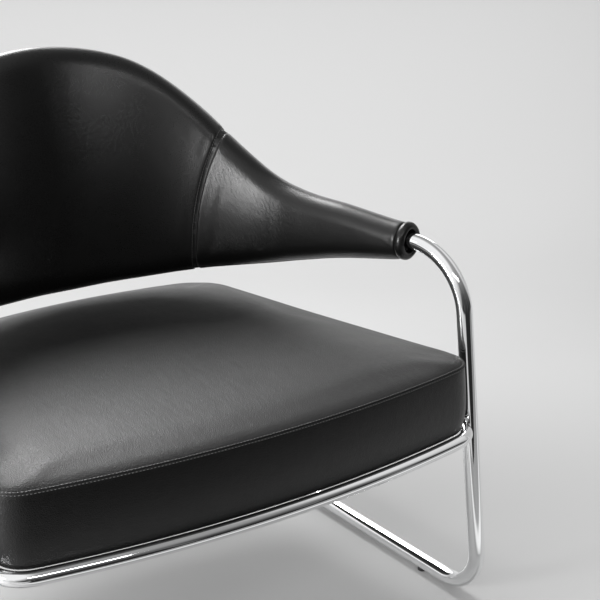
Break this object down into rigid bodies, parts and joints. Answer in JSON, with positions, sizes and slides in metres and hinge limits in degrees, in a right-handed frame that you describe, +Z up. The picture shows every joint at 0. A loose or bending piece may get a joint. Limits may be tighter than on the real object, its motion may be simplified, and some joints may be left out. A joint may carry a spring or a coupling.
{
  "type": "cantilever lounge chair",
  "caption": "Low cantilever lounge chair: chromed steel tube frame, boxed leather seat cushion and a tall curved leather back that runs out into padded arm sleeves.",
  "frame": {"origin": "on the floor, below the middle of the whole chair", "axes": "+Z up; the sitter faces -Y; +X is to the right for someone who stands in front and looks along +Y, and pieces named right are on that side"},
  "size_m": [0.796, 0.7718, 0.7924],
  "materials": {
    "chrome": "polished",
    "bare_steel": "satin",
    "leather": "satin",
    "foam": "matte",
    "plywood": "matte",
    "dust_cloth": "matte",
    "glide_plastic": "satin",
    "buffer_rubber": "matte"
  },
  "bodies": {
    "root": {"side_tube_right": "chrome", "side_tube_left": "chrome", "floor_bow": "chrome", "floor_spigot_right": "bare_steel", "floor_spigot_left": "bare_steel", "floor_pin_right": "bare_steel", "floor_pin_left": "bare_steel", "glide_front_right": "glide_plastic", "glide_front_left": "glide_plastic", "glide_rear_right": "glide_plastic", "glide_rear_left": "glide_plastic", "seat_ring_front": "chrome", "seat_ring_rear": "chrome", "ring_spigot_right": "bare_steel", "ring_spigot_left": "bare_steel", "seat_tab_front_right": "bare_steel", "seat_tab_front_left": "bare_steel", "seat_buffer_front_right": "buffer_rubber", "seat_buffer_front_left": "buffer_rubber", "seat_screw_front_right": "bare_steel", "seat_screw_front_left": "bare_steel", "seat_nut_front_right": "bare_steel", "seat_nut_front_left": "bare_steel", "seat_tab_rear_right": "bare_steel", "seat_tab_rear_left": "bare_steel", "seat_buffer_rear_right": "buffer_rubber", "seat_buffer_rear_left": "buffer_rubber", "seat_screw_rear_right": "bare_steel", "seat_screw_rear_left": "bare_steel", "seat_nut_rear_right": "bare_steel", "seat_nut_rear_left": "bare_steel", "seat_pan": "plywood", "seat_dust_cover": "dust_cloth", "seat_foam": "foam", "seat_border_cover": "leather", "seat_top_cover": "leather", "back_hoop": "bare_steel", "hoop_pin_right": "bare_steel", "hoop_pin_left": "bare_steel", "back_shell": "plywood", "shell_screw_inner_right": "bare_steel", "shell_screw_inner_left": "bare_steel", "shell_screw_outer_right": "bare_steel", "shell_screw_outer_left": "bare_steel", "back_foam_front": "foam", "back_foam_rear": "foam", "arm_foam_right": "foam", "arm_foam_left": "foam", "back_cover_front": "leather", "back_cover_rear": "leather", "side_cover_right": "leather", "side_cover_left": "leather", "sleeve_collar_right": "leather", "sleeve_collar_left": "leather"}
  },
  "joints": []
}
